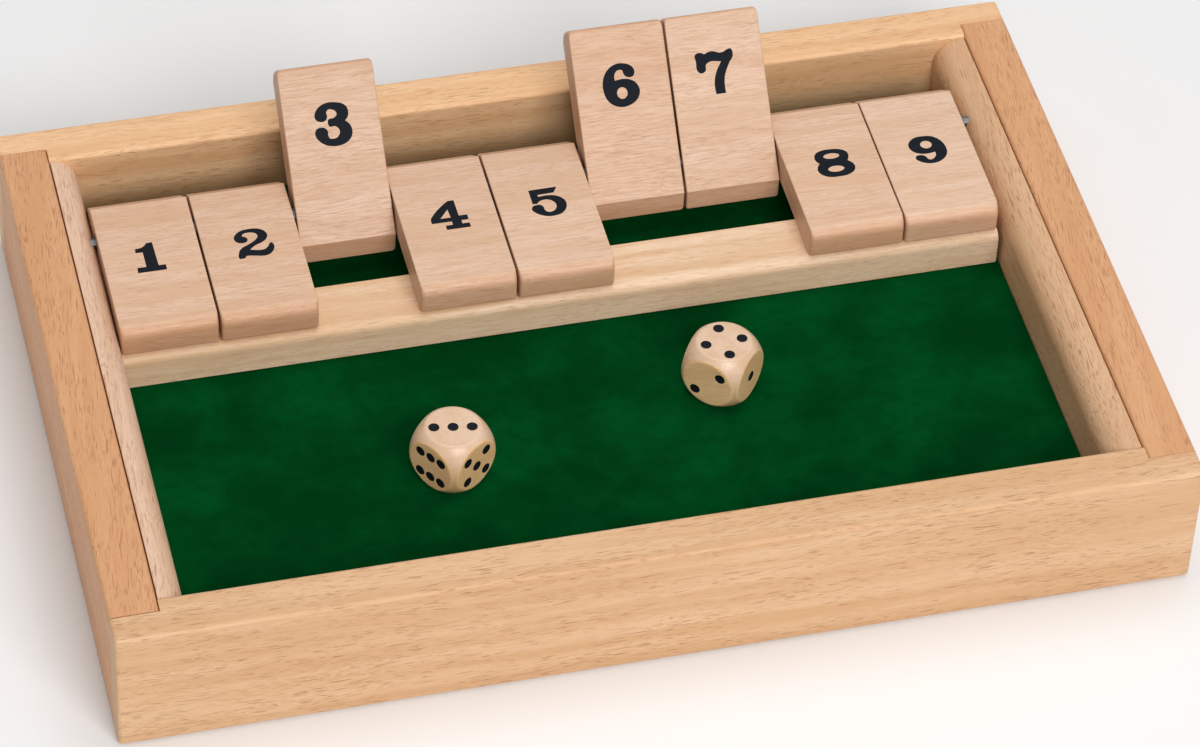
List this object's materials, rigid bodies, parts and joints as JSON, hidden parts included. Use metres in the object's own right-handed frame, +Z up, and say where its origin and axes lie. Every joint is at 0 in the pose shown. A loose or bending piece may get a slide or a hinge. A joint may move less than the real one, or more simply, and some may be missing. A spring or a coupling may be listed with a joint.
{
  "type": "shut the box game",
  "caption": "Wooden dice game tray with a felt floor, a row of numbered flip tiles hinged on a steel rod, a rest rail and loose dice.",
  "frame": {"origin": "middle of the tray's underside, on the surface it stands on", "axes": "+X along the row of tiles to the player's right, +Y from the player to the back wall, +Z up"},
  "size_m": [0.265, 0.175, 0.0607],
  "materials": {
    "pale_beech": "clear satin lacquer",
    "red_beech": "clear satin lacquer",
    "cheek_beech": "clear satin lacquer",
    "tile_beech": "clear satin lacquer with printed numerals",
    "plywood": "sanded",
    "green_felt": "short pressed nap",
    "bright_steel": "bright drawn",
    "dice_maple": "clear gloss lacquer with painted pips",
    "black_print": "satin black ink"
  },
  "bodies": {
    "tray": {"front_wall": "pale_beech", "back_wall": "pale_beech", "left_wall": "red_beech", "right_wall": "red_beech", "left_cheek": "cheek_beech", "right_cheek": "cheek_beech", "base_panel": "plywood", "felt_sheet": "green_felt", "tile_rail": "pale_beech", "hinge_rod": "bright_steel"},
    "flip_1": {"tile_1": "tile_beech"},
    "flip_2": {"tile_2": "tile_beech"},
    "flip_3": {"tile_3": "tile_beech"},
    "flip_4": {"tile_4": "tile_beech"},
    "flip_5": {"tile_5": "tile_beech"},
    "flip_6": {"tile_6": "tile_beech"},
    "flip_7": {"tile_7": "tile_beech"},
    "flip_8": {"tile_8": "tile_beech"},
    "flip_9": {"tile_9": "tile_beech"},
    "loose_die_left": {"die_left": "dice_maple"},
    "loose_die_right": {"die_right": "dice_maple"}
  },
  "joints": [
    {"name": "tile_1_hinge", "type": "hinge", "parent": "tray", "child": "flip_1", "pos_m": [-0.1012, 0.0486, 0.0316], "axis": [-1, 0, 0], "range_deg": [0, 161]},
    {"name": "tile_2_hinge", "type": "hinge", "parent": "tray", "child": "flip_2", "pos_m": [-0.0762, 0.0486, 0.0316], "axis": [-1, 0, 0], "range_deg": [0, 161]},
    {"name": "tile_3_hinge", "type": "hinge", "parent": "tray", "child": "flip_3", "pos_m": [-0.0509, 0.0486, 0.0316], "axis": [-1, 0, 0], "range_deg": [-133, 28]},
    {"name": "tile_4_hinge", "type": "hinge", "parent": "tray", "child": "flip_4", "pos_m": [-0.02611, 0.0486, 0.0316], "axis": [-1, 0, 0], "range_deg": [0, 161]},
    {"name": "tile_5_hinge", "type": "hinge", "parent": "tray", "child": "flip_5", "pos_m": [-0.00111, 0.0486, 0.0316], "axis": [-1, 0, 0], "range_deg": [0, 161]},
    {"name": "tile_6_hinge", "type": "hinge", "parent": "tray", "child": "flip_6", "pos_m": [0.0241, 0.0486, 0.0316], "axis": [-1, 0, 0], "range_deg": [-133, 28]},
    {"name": "tile_7_hinge", "type": "hinge", "parent": "tray", "child": "flip_7", "pos_m": [0.0491, 0.0486, 0.0316], "axis": [-1, 0, 0], "range_deg": [-133, 28]},
    {"name": "tile_8_hinge", "type": "hinge", "parent": "tray", "child": "flip_8", "pos_m": [0.07386, 0.0486, 0.0316], "axis": [-1, 0, 0], "range_deg": [0, 161]},
    {"name": "tile_9_hinge", "type": "hinge", "parent": "tray", "child": "flip_9", "pos_m": [0.09868, 0.0486, 0.0316], "axis": [-1, 0, 0], "range_deg": [0, 161]},
    {"name": "die_left_lift", "type": "slide", "parent": "tray", "child": "loose_die_left", "axis": [0, 0, 1], "range_m": [0, 0.05]},
    {"name": "die_right_lift", "type": "slide", "parent": "tray", "child": "loose_die_right", "axis": [0, 0, 1], "range_m": [0, 0.05]}
  ]
}
